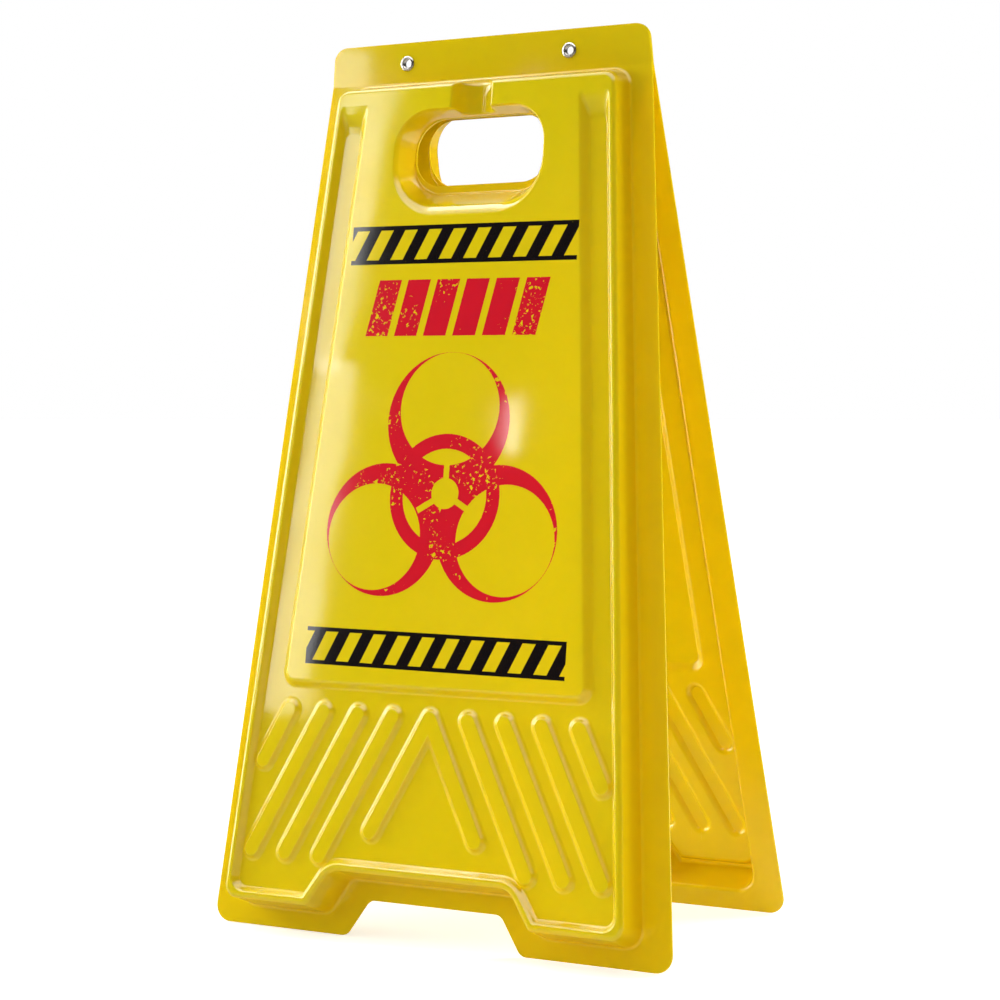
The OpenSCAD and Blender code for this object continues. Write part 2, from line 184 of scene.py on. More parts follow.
class SheetPlan:
    """Plan of one formed sheet: constrained outlines with a height and a normal at each point, in
    millimetres. u runs across the sheet, s down it from the fold, and n out of its printed face."""

    def __init__(self, sizes):
        self.half_fold = sizes.fold_width / MM / 2
        self.half_base = sizes.base_width / MM / 2
        self.length = sizes.panel_length / MM
        self.strip = sizes.strip_height / MM
        self.thick = sizes.thickness / MM
        self.lean = sizes.lean
        self.face = self.thick + sizes.sheet_gap / MM / 2
        self.fold_z = self.length * math.cos(self.lean) + self.thick * math.sin(self.lean)
        self.pan_fold = self.half_fold - sizes.flange_fold / MM
        self.pan_foot = self.half_base - sizes.flange_foot / MM
        self.h_fold, self.h_foot = sizes.pan_height_fold / MM, sizes.pan_height_foot / MM
        self.trough = sizes.trough_depth / MM
        self.rib_h = sizes.rib_height / MM
        self.eyelet_u = sizes.eyelet_pitch / MM / 2
        self.eyelet_s = -sizes.eyelet_rise / MM
        self.hole_r = sizes.eyelet_bore / MM / 2 + HOLE["clearance"]
        self.points, self.data, self.edges = [], [], []
        self.outline, self.holes = [], []

    def pan_h(self, s):
        return self.h_fold + (self.h_foot - self.h_fold) * s / self.length

    def flange_half(self, s):
        return self.half_fold + (self.half_base - self.half_fold) * s / self.length

    def pan_half(self, s):
        return self.pan_fold + (self.pan_foot - self.pan_fold) * s / self.length

    def tone(self, place, height, normal):
        """Painted shade: how much deeper the colour is painted here, on the flange and on steep walls."""
        sunk = 1 - height / self.pan_h(max(0.0, place.y))
        return min(1.0, PAINTED_SHADE["flange"] * max(0.0, sunk) + PAINTED_SHADE["wall"] * (1 - normal.z))

    def add_ring(self, ring, closed=True):
        """Adds an outline of (place, height, normal) and the constraint edges along it."""
        first = len(self.points)
        for place, height, normal in ring:
            self.points.append(place)
            self.data.append((height, normal))
        n = len(ring)
        for i in range(n if closed else n - 1):
            self.edges.append((first + i, first + (i + 1) % n))

    def level_rings(self, pts, radii, kinds, profiles, heights, own_radii=None, steps=ARC_STEPS):
        """Nested outlines through the levels of a formed slope. profiles holds the insets of each kind of
        edge, and heights is a function of (level, s). Gives the places of the last outline."""
        count = len(next(iter(profiles.values())))
        mid = self.length / 2
        lean_of = {k: tilts(p, [heights(j, mid) for j in range(count)]) for k, p in profiles.items()}
        for j in range(count):
            by = [profiles[k][j] for k in kinds]
            r = own_radii(j) if own_radii else inset_radii(pts, by, radii)
            ring = []
            for place, way, corner, share in rounded(inset(pts, by), r, steps):
                a = lean_of[kinds[corner - 1]][j]
                b = lean_of[kinds[corner]][j]
                tilt = a + (b - a) * share
                normal = Vector((way.x * math.sin(tilt), way.y * math.sin(tilt), math.cos(tilt)))
                ring.append((place, heights(j, place.y), normal))
            self.add_ring(ring)
        return [place for place, *_ in ring]

    def add_outline(self):
        up = Vector((0, 0, 1))
        end = self.length
        pts = [Vector(p) for p in (
            (self.flange_half(-self.strip), -self.strip), (self.half_base, end),
            (NOTCH["foot_w"] / 2, end), (NOTCH["top_w"] / 2, end - NOTCH["h"]),
            (-NOTCH["top_w"] / 2, end - NOTCH["h"]), (-NOTCH["foot_w"] / 2, end),
            (-self.half_base, end), (-self.flange_half(-self.strip), -self.strip))]
        radii = [FLANGE["strip_r"], FLANGE["foot_r"], *[NOTCH["r"]] * 4, FLANGE["foot_r"], FLANGE["strip_r"]]
        ring = [p for p, *_ in rounded(pts, radii)]
        full = []
        marks = (-FOLD_BEND, 0.0, FOLD_BEND)
        for i, p in enumerate(ring):
            q = ring[(i + 1) % len(ring)]
            full.append(p)
            # The two sides of the sheet get a point at each mark of the fold
            if p.y < -1 and q.y > 1 or p.y > 1 and q.y < -1:
                for s in (marks if q.y > 0 else marks[::-1]):
                    full.append(Vector((math.copysign(self.flange_half(s), p.x), s)))
        self.outline = full
        self.add_ring([(p, 0.0, up) for p in full])
        for s in marks:
            half = self.flange_half(s)
            self.add_ring([(Vector((x, s)), 0.0, up) for x in (-half, half)], closed=False)
        for side in (-1, 1):
            hole = [Vector((side * self.eyelet_u + self.hole_r * math.cos(a),
                            self.eyelet_s + self.hole_r * math.sin(a)))
                    for a in np.linspace(0, 2 * math.pi, HOLE["steps"] + 1)[:-1]]
            self.holes.append(hole)
            self.add_ring([(p, 0.0, up) for p in hole])

    def pan_points(self):
        """Corners of the pan's outline. Its lower edge runs round the foot notch."""
        end = self.length - FLANGE["end"]
        top = self.length - NOTCH["h"] - FLANGE["end"]
        rise = (NOTCH["foot_w"] - NOTCH["top_w"]) / 2 / NOTCH["h"]
        across = FLANGE["notch"] * math.sqrt(1 + rise * rise)

        def notch_x(s):
            return NOTCH["foot_w"] / 2 - rise * (self.length - s) + across

        right = [(self.pan_half(PAN_START), PAN_START), (self.pan_half(end), end),
                 (notch_x(end), end), (notch_x(top), top)]
        return [Vector(p) for p in right] + [Vector((-x, s)) for x, s in reversed(right)]

    def add_pan(self):
        wall = math.atan2(self.h_fold - FOOT_FILLET - EDGE_R, DRAFT[END])
        foot = [wall * k / FOOT_STEPS for k in range(FOOT_STEPS + 1)]
        crest = [wall * (1 - k / EDGE_STEPS) for k in range(EDGE_STEPS + 1)]
        profiles = {k: [FOOT_FILLET * (math.sin(t) - 1) for t in foot]
                       + [DRAFT[k] + EDGE_R * (1 - math.sin(t)) for t in crest] for k in (SIDE, END, TOP)}

        def heights(j, s):
            if j < len(foot):
                return FOOT_FILLET * (1 - math.cos(foot[j]))
            return self.pan_h(s) - EDGE_R * (1 - math.cos(crest[j - len(foot)]))

        kinds = [SIDE, END, END, END, END, END, SIDE, TOP]
        low = NOTCH["low_r"]
        self.level_rings(self.pan_points(), [PAN_R, PAN_R, low, NOTCH["r"], NOTCH["r"], low, PAN_R, PAN_R],
                         kinds, profiles, heights)
        mid = self.length / 2
        self.top_profile = [(PAN_START + profiles[TOP][j], j, heights) for j in range(len(profiles[TOP]))]
        self.top_tilts = tilts(profiles[TOP], [heights(j, mid) for j in range(len(profiles[TOP]))])

    def add_trough(self):
        start = TROUGH["start"]
        rim = {k: DRAFT[k] + EDGE_R + RIM_FLAT for k in (SIDE, END)}
        margin = FIELD_EDGE["margin"]
        end = FIELD_EDGE["len"]
        pan = self.pan_points()
        field_at = [(self.pan_half(s) - margin, s) for s in (start, end)]
        pts = [Vector((self.pan_half(start), start))] + pan[1:7] + [Vector((-self.pan_half(start), start))]
        pts += [Vector((-x, s)) for x, s in field_at] + [Vector((x, s)) for x, s in reversed(field_at)]
        kinds = [SIDE, END, END, END, END, END, SIDE, TOP, FIELD, FIELD, FIELD, TOP]
        shares = [0, 0.07, 0.15, 0.24, 0.34, 0.5, 0.66, 0.76, 0.85, 0.93, 1]
        spans = {SIDE: RIM_SLOPE, END: RIM_SLOPE, TOP: TROUGH["ramp"], FIELD: FIELD_EDGE["slope"]}
        profiles = {k: [rim.get(k, 0.0) + span * p for p in shares] for k, span in spans.items()}
        low = NOTCH["low_r"]
        base = [0, TROUGH["r"], low, NOTCH["r"], NOTCH["r"], low, TROUGH["r"], 0, 0, FIELD_EDGE["r"],
                FIELD_EDGE["r"], 0]

        def own_radii(j):
            by = [profiles[k][j] for k in kinds]
            r = inset_radii(pts, by, base)
            for corners, (rim_r, floor_r) in TROUGH_END_R.items():
                for i in corners:
                    r[i] = rim_r + (floor_r - rim_r) * shares[j]
            return r

        def heights(j, s):
            p = shares[j]
            return self.pan_h(s) - self.trough * p * p * (3 - 2 * p)

        self.floor = self.level_rings(pts, None, kinds, profiles, heights, own_radii)

    def add_ribs(self):
        top = FIELD_EDGE["len"] + RIBS["start"]
        steep = RIBS["reach"] / RIBS["drop"]
        shift = RIBS["offset"]
        chevron = RIBS["chevron"]
        lines = [[(-steep * chevron, top + chevron), (0, top), (steep * chevron, top + chevron)]]
        for side in (-1, 1):
            for i in range(1, RIBS["count"] + 1):
                x = RIBS["pitch"] * i + shift
                lines.append([(side * x, top), (side * (x + RIBS["reach"]), top + RIBS["drop"])])
            x = RIBS["pitch"] * (RIBS["count"] + 1) + shift
            lines.append([(side * x, top), (side * (x + steep * RIBS["short"]), top + RIBS["short"])])
        reach = [r for r, _ in RIB_PROFILE]
        lean = tilts([-r for r in reach], [h * self.rib_h for _, h in RIB_PROFILE])
        self.rib_lines = [[Vector(p) for p in line] for line in lines]
        self.rib_lean = lean
        for pts in self.rib_lines:
            for (r, h), tilt in zip(RIB_PROFILE, lean):
                ring = []
                for place, way in stroke(pts, r):
                    z = self.pan_h(place.y) - self.trough + h * self.rib_h
                    normal = Vector((way.x * math.sin(tilt), way.y * math.sin(tilt), math.cos(tilt)))
                    ring.append((place, z, normal))
                self.add_ring(ring)

    def add_recess(self):
        half, start = RECESS["w"] / 2, RECESS["start"]
        end = start + RECESS["len"]
        pts = [Vector(p) for p in ((half, start), (half, end), (-half, end), (-half, start))]
        radii = [RECESS["r"], RECESS["low_r"], RECESS["low_r"], RECESS["r"]]
        kinds = [SIDE, END, SIDE, TOP]
        profiles = {k: [row[k] for row in RECESS_PROFILE] for k in (SIDE, END, TOP)}

        def heights(j, s):
            row = RECESS_PROFILE[j]
            return row[3] * self.pan_h(s) + row[4]

        self.level_rings(pts, radii, kinds, profiles, heights, steps=RECESS["steps"])
        mid = start + RECESS["len"] / 2
        falls = tilts(profiles[TOP], [heights(j, mid) for j in range(len(RECESS_PROFILE))])
        last = len(self.top_profile)
        self.top_profile += [(start + profiles[TOP][j], j, heights) for j in range(len(RECESS_PROFILE))]
        self.top_tilts = self.top_tilts[:last] + falls
        by = [SLOT_INSET[k] for k in kinds]
        slot = [p for p, *_ in rounded(inset(pts, by), inset_radii(pts, by, radii), RECESS["steps"])]
        self.holes.append(slot)
        self.add_ring([(p, 0.0, Vector((0, 0, 1))) for p in slot])

    def add_groove_lines(self):
        half, start, end = GROOVE["half"], GROOVE["start"], GROOVE["end"]
        for u in (*GROOVE_LINES, half):
            for x in ((u,) if u == 0 else (-u, u)):
                self.add_ring([(Vector((x, s)), None, None) for s in (start, end)], closed=False)
        for s in GROOVE_LEVELS:
            self.add_ring([(Vector((x, s)), None, None) for x in (-half, half)], closed=False)

    def in_groove(self, p):
        return abs(p.x) <= GROOVE["half"] + NEAR and FOLD_BEND + NEAR < p.y <= GROOVE["end"] + NEAR

    def groove_data(self, p):
        """Height and normal where the thumb groove crosses the pan's upper wall and the recess."""
        places = [t[0] for t in self.top_profile]
        levels = [h(j, s) for s, j, h in self.top_profile]
        wall = float(np.interp(p.y, places, levels))
        tilt = float(np.interp(p.y, places, self.top_tilts))
        wall_slope = math.tan(min(STEEPEST, max(-STEEPEST, tilt)))
        r, lip = GROOVE["r"], GROOVE["lip"] * GROOVE["r"]
        u = abs(p.x)
        mid = GROOVE["floor"] + r
        inner = min(u, lip)
        root = math.sqrt(r * r - inner * inner)
        groove_slope = inner / root
        groove = mid - root + max(0.0, u - lip) * groove_slope
        k = GROOVE["blend"]
        h = min(1.0, max(0.0, 0.5 + 0.5 * (groove - wall) / k))
        z = groove + (wall - groove) * h - k * h * (1 - h)
        du = math.copysign(groove_slope * (1 - h), p.x)
        return z, Vector((-du, -wall_slope * h, 1)).normalized()

    def meets_rim(self, p):
        near, first, last = RIB_MEETS_RIM
        return abs(p.x) > near and first < p.y < last and abs(p.x) < self.pan_half(p.y) - RIM_FLAT

    def meeting_data(self, p):
        """Height and normal where a rib's end may run into the slope round the trough, or nothing on the
        rim beyond that slope."""
        foot, d = nearest_on(self.floor, p, True)
        if inside(p, self.floor):
            d = 0.0
        if d > RIM_SLOPE + RIM_MARGIN:
            return None
        share = 1 - min(1.0, d / RIM_SLOPE)
        slope_h = self.trough * (1 - share * share * (3 - 2 * share))
        tilt = math.atan(self.trough * 6 * share * (1 - share) / RIM_SLOPE)
        way = (foot - p).normalized() if d > 1e-6 else Vector((0, 0))
        spot, r = min((nearest_on(line, p, False) for line in self.rib_lines), key=lambda f: f[1])
        reach = [x for x, _ in RIB_PROFILE][::-1]
        rib_h = float(np.interp(r, reach, [h for _, h in RIB_PROFILE][::-1])) * self.rib_h
        if rib_h > slope_h:
            slope_h = rib_h
            tilt = float(np.interp(r, reach, self.rib_lean[::-1]))
            way = (p - spot).normalized()
        normal = Vector((way.x * math.sin(tilt), way.y * math.sin(tilt), math.cos(tilt)))
        return self.pan_h(p.y) - self.trough + slope_h, normal

    def triangles(self):
        """Points, heights, normals and triangles of the printed face."""
        coords = [Vector(p) for p in self.points]
        verts, _, faces, origin, _, _ = delaunay_2d_cdt(coords, self.edges, [], 0, 1e-5, True)
        data = []
        for place, sources in zip(verts, origin):
            if self.in_groove(place):
                data.append(self.groove_data(place))
                continue
            found = self.meeting_data(place) if self.meets_rim(place) else None
            if found:
                data.append(found)
                continue
            known = [self.data[i] for i in sources if self.data[i][0] is not None]
            if not known:
                raise RuntimeError("outlines cross at %.2f, %.2f" % (place.x, place.y))
            data.append(max(known, key=lambda d: d[0]))
        kept = []
        for face in faces:
            mid = sum((verts[i] for i in face), Vector((0, 0))) / 3
            if inside(mid, self.outline) and not any(inside(mid, hole) for hole in self.holes):
                kept.append(tuple(face))
        return verts, data, kept


def stroke(pts, r):
    """Outline at distance r round a line of two or three points, with round ends: (place, outward)."""
    out = []
    for half in (pts, pts[::-1]):
        way = (half[1] - half[0]).normalized()
        start = math.atan2(way.y, way.x)
        for k in range(RIB_STEPS["end"] + 1):
            a = start + math.pi * (1.5 - k / RIB_STEPS["end"])
            d = Vector((math.cos(a), math.sin(a)))
            out.append((half[0] + d * r, d))
        if len(pts) == 3:
            a, b = left_of(way), left_of((half[2] - half[1]).normalized())
            if a.dot(half[2] - half[1]) > 0:
                mid = (a + b).normalized()
                out.append((half[1] + mid * (r / mid.dot(a)), mid))
            else:
                first = math.atan2(a.y, a.x)
                turn = math.atan2(a.x * b.y - a.y * b.x, a.dot(b))
                for k in range(RIB_STEPS["bend"] + 1):
                    t = first + turn * k / RIB_STEPS["bend"]
                    d = Vector((math.cos(t), math.sin(t)))
                    out.append((half[1] + d * r, d))
    return out


def nearest_on(line, p, closed):
    """The nearest point of a line of points, and how far it is."""
    best = (None, 1e9)
    for i in range(0 if closed else 1, len(line)):
        a, b = line[i - 1], line[i]
        way = b - a
        size = way.length_squared
        k = min(1.0, max(0.0, (p - a).dot(way) / size)) if size > 0 else 0.0
        spot = a + way * k
        d = (p - spot).length
        if d < best[1]:
            best = (spot, d)
    return best


def inside(p, ring):
    hit = False
    n = len(ring)
    for i in range(n):
        a, b = ring[i - 1], ring[i]
        if (a.y > p.y) != (b.y > p.y) and p.x < (b.x - a.x) * (p.y - a.y) / (b.y - a.y) + a.x:
            hit = not hit
    return hit


# Meshes

def new_piece(name, mesh, body):
    piece = bpy.data.objects.new(name, mesh)
    bpy.context.scene.collection.objects.link(piece)
    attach(piece, body)
    return piece


def sheet_mesh(name, plan, front):
    """A closed sheet mesh from the plan: printed face, inner face and cut edges, with its sheet map."""
    verts, data, faces = plan.triangles()
    c, s = math.cos(plan.lean), math.sin(plan.lean)
    facing = -1 if front else 1
    outer, normals, painted_shades = [], [], []
    for place, (height, normal) in zip(verts, data):
        u = place.x
        strip_way = Vector((normal.x, facing * normal.z, -normal.y))
        panel_way = Vector((normal.x, facing * (normal.y * s + normal.z * c), -normal.y * c + normal.z * s))
        if place.y < -1e-6:
            spot = Vector((u, facing * (plan.face + height), plan.fold_z - place.y))
            way = strip_way
        else:
            spot = Vector((u, facing * (plan.face + place.y * s + height * c),
                           plan.fold_z - place.y * c + height * s))
            way = panel_way if place.y > 1e-6 else (strip_way + panel_way).normalized()
        if not front:
            spot.x, way.x = -spot.x, -way.x
        outer.append(spot)
        normals.append(way)
        # Painted shade share of this point
        painted_shades.append(plan.tone(place, height, normal))
    inner = [p - w * plan.thick for p, w in zip(outer, normals)]
    count = len(verts)
    rim = {}
    for face in faces:
        for i in range(3):
            a, b = face[i], face[(i + 1) % 3]
            rim[(a, b)] = True
    border = [(a, b) for a, b in rim if (b, a) not in rim]
    sample = faces[0]
    e1, e2 = outer[sample[1]] - outer[sample[0]], outer[sample[2]] - outer[sample[0]]
    flip = e1.cross(e2).dot(normals[sample[0]]) < 0
    polygons, loops, uvs, slots = [], [], [], []

    def put(indices, ways, slot):
        polygons.append(indices)
        loops.extend(ways)
        uvs.extend((MAP_U + verts[i % count].x * MM, MAP_S - verts[i % count].y * MM) for i in indices)
        slots.append(slot)

    for face in faces:
        out = face[::-1] if flip else face
        put(out, [normals[i] for i in out], 0)
        back = tuple(i + count for i in reversed(out))
        put(back, [-normals[i - count] for i in back], 1)
    edge_way = {}
    for a, b in border:
        d = (outer[b] - outer[a]).normalized()
        w = d.cross(normals[a]).normalized() * (-1 if flip else 1)
        edge_way[(a, b)] = w
    at = {}
    for (a, b), w in edge_way.items():
        at.setdefault(a, []).append(w)
        at.setdefault(b, []).append(w)
    for (a, b), w in edge_way.items():
        ways = {}
        for i in (a, b):
            near = [x for x in at[i] if x.dot(w) > EDGE_MATCH]
            ways[i] = sum(near, Vector()).normalized()
        quad = (b, a, a + count, b + count) if not flip else (a, b, b + count, a + count)
        put(quad, [ways[i % count] for i in quad], 1)
    mesh = bpy.data.meshes.new(name)
    mesh.from_pydata([tuple(p) for p in outer + inner], [], polygons)
    layer = mesh.uv_layers.new(name="sheet")
    layer.data.foreach_set("uv", [x for uv in uvs for x in uv])
    mesh.polygons.foreach_set("material_index", slots)
    mesh.polygons.foreach_set("use_smooth", [True] * len(polygons))
    # Painted shade on walls and flange, kept on each point
    tone = mesh.attributes.new("tone", "FLOAT", "POINT")
    tone.data.foreach_set("value", painted_shades * 2)
    mesh.update()
    mesh.normals_split_custom_set([tuple(w) for w in loops])
    return mesh


def eyelet_mesh(name, sizes, plan, side):
    """A tubular eyelet: a plain barrel with a rolled flange in front and a split one behind."""
    bore = sizes.eyelet_bore / MM / 2
    wide = sizes.eyelet_width / MM / 2
    face = plan.face
    high = sizes.eyelet_dome / MM
    half = [(bore, 0.0), (bore, face + 0.45 * high), (bore + 0.12, face + 0.75 * high),
            (bore + 0.4, face + 0.93 * high), (bore + 0.9, face + high), (bore + 1.4, face + 0.96 * high),
            (wide - 0.55, face + 0.72 * high), (wide - 0.18, face + 0.42 * high),
            (wide, face + 0.16 * high), (wide - 0.06, face + 0.03), (wide - 0.5, face + 0.02),
            (bore + 0.5, face + 0.02), (bore + 0.4, 0.0)]
    profile = half + [(r, -h) for r, h in reversed(half[1:-1])]
    steps = 96
    verts, faces = [], []
    x0, z0 = side * plan.eyelet_u, plan.fold_z - plan.eyelet_s
    splits = 8
    for k in range(steps):
        a = 2 * math.pi * k / steps
        near = abs((k + steps / splits / 2) % (steps / splits) - steps / splits / 2) < 1
        for r, h in profile:
            # The rear flange is split where it was rolled over
            if h < -face - 0.1 and near and r > bore + 0.2:
                h = -face - (-h - face) * 0.35
            verts.append((x0 + r * math.cos(a), -h, z0 + r * math.sin(a)))
    n = len(profile)
    for k in range(steps):
        for i in range(n):
            j = (i + 1) % n
            m = (k + 1) % steps
            faces.append((k * n + i, k * n + j, m * n + j, m * n + i))
    mesh = bpy.data.meshes.new(name)
    mesh.from_pydata([(x * MM, y * MM, z * MM) for x, y, z in verts], [], faces)
    mesh.polygons.foreach_set("use_smooth", [True] * len(faces))
    mesh.update()
    return mesh


# Shader nodes

class Tree:
    """Short calls that add nodes to a node tree and link them."""

    def __init__(self, tree):
        self.tree = tree

    def node(self, kind, **settings):
        made = self.tree.nodes.new(kind)
        for key, value in settings.items():
            setattr(made, key, value)
        return made

    def link(self, value, socket):
        if isinstance(value, bpy.types.NodeSocket):
            self.tree.links.new(value, socket)
        elif value is not None:
            socket.default_value = value

    def maths(self, operation, *values):
        made = self.node("ShaderNodeMath", operation=operation)
        for value, socket in zip(values, made.inputs):
            self.link(value, socket)
        return made.outputs[0]

    def add(self, a, b):
        return self.maths("ADD", a, b)

    def sub(self, a, b):
        return self.maths("SUBTRACT", a, b)

    def mul(self, a, b):
        return self.maths("MULTIPLY", a, b)

    def low(self, a, b):
        return self.maths("MINIMUM", a, b)

    def high(self, a, b):
        return self.maths("MAXIMUM", a, b)

    def size(self, a):
        return self.maths("ABSOLUTE", a)

    def length(self, a, b):
        return self.maths("SQRT", self.add(self.mul(a, a), self.mul(b, b)))

    def disc(self, u, s, centre, r):
        """Distance outside a disc."""
        return self.sub(self.length(self.sub(u, centre[0]), self.sub(s, centre[1])), r)

    def ramp(self, value, low, high, out_low=0.0, out_high=1.0):
        made = self.node("ShaderNodeMapRange", interpolation_type="SMOOTHSTEP")
        for socket, v in zip(made.inputs, (value, low, high, out_low, out_high)):
            self.link(v, socket)
        return made.outputs[0]

    def noise(self, vector, scale, detail=2.0, roughness=0.5, distortion=0.0):
        made = self.node("ShaderNodeTexNoise")
        names = ("Vector", "Scale", "Detail", "Roughness", "Distortion")
        for name, value in zip(names, (vector, scale, detail, roughness, distortion)):
            self.link(value, made.inputs[name])
        return made.outputs["Fac"]

    def mix(self, factor, a, b):
        # Sockets 6 and 7 and output 2 of a mix node are those for colours
        made = self.node("ShaderNodeMix", data_type="RGBA")
        self.link(factor, made.inputs["Factor"])
        self.link(a, made.inputs[6])
        self.link(b, made.inputs[7])
        return made.outputs[2]

    def group(self, group, **values):
        made = self.node("ShaderNodeGroup", node_tree=group)
        for key, value in values.items():
            self.link(value, made.inputs[key.replace("_", " ")])
        return made.outputs


def new_group(name, inputs, outputs):
    """An empty node group with named sockets. Gives its tree, its inputs by name and its output node."""
    tree = bpy.data.node_groups.new(name, "ShaderNodeTree")
    for label, kind, default in inputs:
        socket = tree.interface.new_socket(name=label, in_out="INPUT", socket_type="NodeSocket" + kind)
        if default is not None:
            socket.default_value = default
    for label, kind in outputs:
        tree.interface.new_socket(name=label, in_out="OUTPUT", socket_type="NodeSocket" + kind)
    t = Tree(tree)
    start = t.node("NodeGroupInput")
    end = t.node("NodeGroupOutput")
    return t, start.outputs, end.inputs


def plastic_group():
    """Colour change, gloss and fine relief of a vacuum formed sheet, from its sheet map in metres, and
    painted shade.
    """
    t, given, out = new_group(
        "Formed plastic",
        [("Place", "Vector", None), ("Colour", "Color", (0.8, 0.65, 0.03, 1)),
         ("Deep colour", "Color", (0.7, 0.5, 0.02, 1)), ("Wall colour", "Color", (0.7, 0.4, 0.0, 1)),
         ("Tone", "Float", 0.0), ("Roughness", "Float", 0.25), ("Scuffs", "Float", 0.5)],
        [("Colour", "Color"), ("Roughness", "Float"), ("Height", "Float")])
    place = given["Place"]
    cloud = t.noise(place, 9.0, 3.0, 0.55)
    blotch = t.noise(place, 55.0, 2.0, 0.5)
    tone = t.add(t.mul(t.ramp(cloud, 0.3, 0.7), 0.6), t.mul(t.ramp(blotch, 0.3, 0.7), 0.25))
    face = t.mix(tone, given["Deep colour"], given["Colour"])
    # Painted shade: the deeper wall colour is mixed in by the shade share
    t.link(t.mix(given["Tone"], face, given["Wall colour"]), out["Colour"])
    streak = t.node("ShaderNodeMapping")
    t.link(place, streak.inputs["Vector"])
    streak.inputs["Rotation"].default_value = (0, 0, 0.7)
    streak.inputs["Scale"].default_value = (1500, 90, 1)
    fine = t.noise(streak.outputs[0], 1.0, 2.0, 0.6, 0.3)
    patch = t.noise(place, 18.0, 3.0, 0.6)
    scuff = t.mul(t.mul(t.ramp(fine, 0.62, 0.74), t.ramp(patch, 0.5, 0.68)), given["Scuffs"])
    gloss = t.add(given["Roughness"], t.mul(t.ramp(patch, 0.3, 0.75), 0.03))
    t.link(t.add(gloss, t.mul(scuff, 0.25)), out["Roughness"])
    wave = t.mul(t.noise(place, 14.0, 1.0, 0.4), 0.55)
    peel = t.mul(t.noise(place, 420.0, 2.0, 0.5), 0.012)
    t.link(t.sub(t.add(wave, peel), t.mul(scuff, 0.01)), out["Height"])
    return t.tree


def ink_group():
    """Mask of a screen print that has chipped and worn, from the distance outside its drawn edge."""
    t, given, out = new_group(
        "Worn ink",
        [("Place", "Vector", None), ("Distance", "Float", 1.0), ("Chips", "Float", 0.5),
         ("Ragged", "Float", 0.3), ("Soft", "Float", 0.25)],
        [("Mask", "Float")])
    place = given["Place"]
    edge = t.mul(t.sub(t.noise(place, 700.0, 2.0, 0.6), 0.5), given["Ragged"])
    far = t.add(given["Distance"], edge)
    solid = t.ramp(far, t.mul(given["Soft"], -1.0), given["Soft"], 1.0, 0.0)
    speck = t.noise(place, 330.0, 3.0, 0.6, 0.6)
    crowd = t.ramp(t.noise(place, 26.0, 2.0, 0.5), 0.40, 0.64)
    limit = t.sub(0.74, t.mul(t.mul(crowd, given["Chips"]), 0.17))
    chip = t.ramp(speck, limit, t.add(limit, 0.02))
    t.link(t.mul(solid, t.sub(1.0, chip)), out["Mask"])
    return t.tree


# The striped bands above and below the figure, in millimetres
BANDS = [
    {"Middle": 1.3, "Level": 125.6, "Width": 183.6, "Height": 27.9, "Border": 3.2, "Pitch": 20.06,
     "Window": 10.3, "Lean": 11.0, "Phase": -76.9},
    {"Middle": 0.3, "Level": 414.6, "Width": 209.1, "Height": 26.5, "Border": 2.9, "Pitch": 19.91,
     "Window": 10.1, "Lean": 10.2, "Phase": -98.2}]


def band_group():
    """Distance outside the ink of a striped hazard band with slanted clear windows, in millimetres."""
    names = ("Across", "Down", *BANDS[0])
    t, given, out = new_group("Striped band", [(n, "Float", 0.0) for n in names], [("Distance", "Float")])
    u = t.sub(given["Across"], given["Middle"])
    s = t.sub(given["Down"], given["Level"])
    half_h = t.mul(given["Height"], 0.5)
    box = t.high(t.sub(t.size(u), t.mul(given["Width"], 0.5)), t.sub(t.size(s), half_h))
    clear_half = t.sub(half_h, given["Border"])
    slant = t.mul(t.maths("DIVIDE", s, t.mul(clear_half, 2.0)), given["Lean"])
    along = t.sub(t.add(given["Across"], slant), given["Phase"])
    cell = t.maths("FLOORED_MODULO", along, given["Pitch"])
    window = t.sub(t.size(t.sub(cell, t.mul(given["Pitch"], 0.5))), t.mul(given["Window"], 0.5))
    window = t.high(window, t.sub(t.size(s), clear_half))
    t.link(t.high(box, t.mul(window, -1.0)), out["Distance"])
    return t.tree


# The print is turned this far on the sheet, in radians
PRINT_TURN = 0.009

# The three lobed figure, in millimetres: across and down the sheet, then a radius, or two for the ring
LOBES = [(-46.9, 330.0, 47.2), (44.3, 330.0, 47.7), (0.0, 252.6, 49.2)]
CUTS = [(-54.3, 335.3, 37.9), (51.4, 334.8, 38.8), (0.5, 243.4, 39.9)]
RING = (1.0, 305.5, 33.7, 44.3)
HUB = (1.5, 303.3, 10.9)
HUB_SLOT = {"half": 2.2, "reach": 25.0, "angles": (-90, 30, 150)}


def figure_distance(t, u, s):
    """Distance outside the three lobed figure."""
    discs = [t.disc(u, s, lobe[:2], lobe[2]) for lobe in LOBES]
    cuts = [t.disc(u, s, cut[:2], cut[2]) for cut in CUTS]
    lobes = t.low(t.low(discs[0], discs[1]), discs[2])
    cut = t.low(t.low(cuts[0], cuts[1]), cuts[2])
    shape = t.high(lobes, t.mul(cut, -1.0))
    middle = (RING[2] + RING[3]) / 2
    ring = t.sub(t.size(t.disc(u, s, RING[:2], middle)), (RING[3] - RING[2]) / 2)
    shape = t.low(shape, ring)
    shape = t.high(shape, t.mul(t.disc(u, s, HUB[:2], HUB[2]), -1.0))
    x, y = t.sub(u, HUB[0]), t.sub(s, HUB[1])
    for angle in HUB_SLOT["angles"]:
        c, d = math.cos(math.radians(angle)), math.sin(math.radians(angle))
        along = t.add(t.mul(x, c), t.mul(y, d))
        across = t.size(t.sub(t.mul(y, c), t.mul(x, d)))
        ends = t.high(t.sub(along, HUB_SLOT["reach"]), t.mul(along, -1.0))
        slot = t.high(t.sub(across, HUB_SLOT["half"]), ends)
        shape = t.high(shape, t.mul(slot, -1.0))
    return shape


# The row of plain slanted blocks above the figure, in millimetres
BLOCKS = {"level": 171.3, "height": 40.5, "pitch": 24.0, "width": 18.5, "count": 6, "lean": 9.0}


